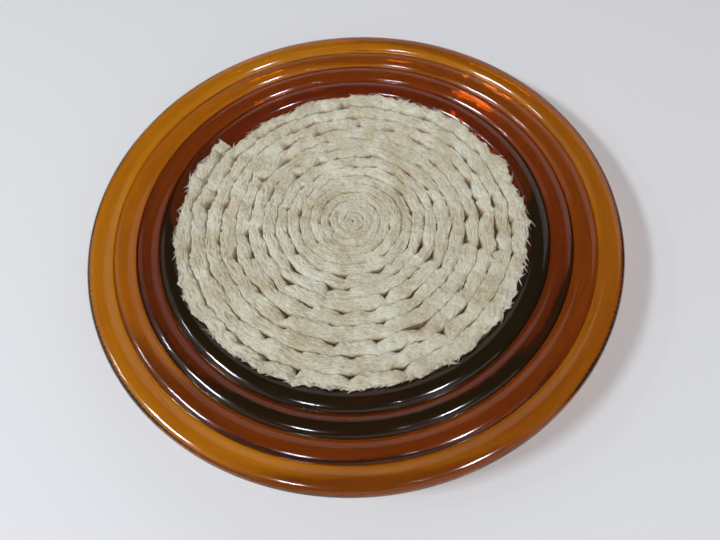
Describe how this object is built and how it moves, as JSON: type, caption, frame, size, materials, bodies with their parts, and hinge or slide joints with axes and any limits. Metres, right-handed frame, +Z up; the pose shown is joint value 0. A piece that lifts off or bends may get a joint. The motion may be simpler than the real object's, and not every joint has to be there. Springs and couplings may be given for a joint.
{
  "type": "glass desiccator dish",
  "caption": "Shallow round amber glass dish with concentric rolled rings, holding a loose spiral roll of drying wadding that lifts straight out.",
  "frame": {"origin": "centre of the underside of the foot ring, on the surface the dish stands on", "axes": "+Z up along the dish's axis; +X and +Y across the rim, with the wadding's outer end at 139 degrees anticlockwise from +X"},
  "size_m": [0.2, 0.2, 0.018],
  "materials": {
    "amber_glass": "glossy, pressed",
    "wadding": "matte, fibrous"
  },
  "bodies": {
    "dish": {"glass_dish": "amber_glass"},
    "roll": {"wadding_roll": "wadding"}
  },
  "joints": [
    {"name": "roll_lift", "type": "slide", "parent": "dish", "child": "roll", "axis": [0, 0, 1], "range_m": [0, 0.03]}
  ]
}
